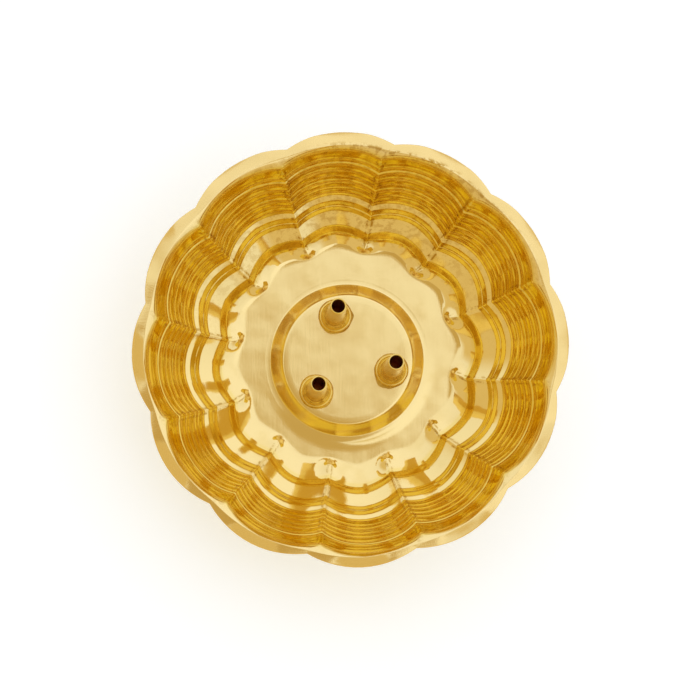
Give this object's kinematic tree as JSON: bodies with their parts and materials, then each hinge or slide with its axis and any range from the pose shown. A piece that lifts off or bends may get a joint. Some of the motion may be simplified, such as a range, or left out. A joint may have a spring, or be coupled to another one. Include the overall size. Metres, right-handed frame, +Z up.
{
  "type": "fluted bowl with stick posts",
  "caption": "Round fluted sheet-metal bowl with a scalloped lip, a raised centre and upright hollow posts that hold sticks.",
  "frame": {"origin": "on the surface the bowl stands on, under the middle of the bowl", "axes": "+Z up along the bowl's axis; +Y towards the post called rear; +X towards the post called right"},
  "size_m": [0.0998, 0.0998, 0.026],
  "materials": {
    "bowl_brass": "polished",
    "collar_brass": "satin",
    "post_brass": "turned and polished",
    "solder": "dull, as run"
  },
  "bodies": {
    "root": {"bowl": "bowl_brass", "collar_rear": "collar_brass", "collar_left": "collar_brass", "collar_right": "collar_brass", "post_rear": "post_brass", "post_left": "post_brass", "post_right": "post_brass", "solder_rear": "solder", "solder_left": "solder", "solder_right": "solder"}
  },
  "joints": []
}
